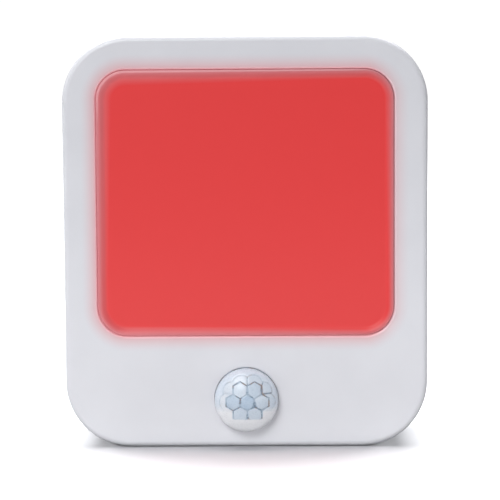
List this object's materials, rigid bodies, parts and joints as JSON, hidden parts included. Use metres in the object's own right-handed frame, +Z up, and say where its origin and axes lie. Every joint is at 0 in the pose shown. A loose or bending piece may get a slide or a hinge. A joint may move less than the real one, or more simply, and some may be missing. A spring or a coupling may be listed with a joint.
{
  "type": "safelight",
  "caption": "White plug-in safelight with a rounded square red window, a domed motion-sensor lens below it, flat plug blades behind and a side slide switch.",
  "frame": {"origin": "middle of the flat rear face, midway between the plug blades, where the lamp meets the socket", "axes": "+Z up, +Y into the wall along the blades, so the lit front faces -Y, +X to the viewer's right"},
  "size_m": [0.0759, 0.049, 0.085],
  "materials": {
    "housing_white": "satin white ABS",
    "panel_red": "translucent red acrylic, lit from behind",
    "lens_white": "milky polyethylene with moulded facets",
    "tray_white": "reflective white",
    "plastic_black": "moulded black",
    "board_green": "glass-epoxy board with green solder resist",
    "board_white": "glass-epoxy board with white solder resist",
    "screw_steel": "zinc-plated",
    "tinned_wire": "tinned",
    "blade_brass": "nickel-washed brass",
    "can_steel": "plated steel",
    "filter_dark": "dark infrared filter",
    "led_white": "moulded white",
    "led_resin": "red-lit resin",
    "label_silver": "blank satin label",
    "film_yellow": "moulded box",
    "sleeve_black": "heat-shrunk sleeve",
    "resistor_blue": "lacquered",
    "resistor_green": "lacquered",
    "contact_beige": "phenolic sheet"
  },
  "bodies": {
    "housing": {"front_housing": "housing_white", "rear_housing": "housing_white", "case_screws": "screw_steel", "rating_label": "label_silver", "diffuser": "panel_red", "reflector_tray": "tray_white", "sensor_lens": "lens_white", "lens_retainer": "plastic_black", "sensor_can": "can_steel", "sensor_filter": "filter_dark", "sensor_header": "can_steel", "sensor_leads": "tinned_wire", "sensor_spacer": "plastic_black", "lamp_board": "board_white", "led_bodies": "led_white", "led_resin": "led_resin", "lamp_screws": "screw_steel", "control_chip": "plastic_black", "control_chip_leads": "tinned_wire", "chip_resistors": "plastic_black", "power_board": "board_green", "power_screws": "screw_steel", "header_strip": "plastic_black", "header_pins": "tinned_wire", "dropper_capacitor": "film_yellow", "dropper_capacitor_leads": "tinned_wire", "smoothing_capacitor": "sleeve_black", "smoothing_capacitor_leads": "tinned_wire", "fusible_resistor": "resistor_green", "fusible_resistor_leads": "tinned_wire", "discharge_resistor": "resistor_blue", "discharge_resistor_leads": "tinned_wire", "bridge_rectifier": "plastic_black", "bridge_rectifier_leads": "tinned_wire", "plug_blade_left": "blade_brass", "plug_blade_right": "blade_brass", "switch_shell": "can_steel", "switch_base": "contact_beige", "switch_pins": "tinned_wire"},
    "mode_knob": {"mode_knob": "housing_white", "switch_slider": "plastic_black"}
  },
  "joints": [
    {"name": "mode_slide", "type": "slide", "parent": "housing", "child": "mode_knob", "axis": [0, 0, 1], "range_m": [-0.002, 0.002]}
  ]
}
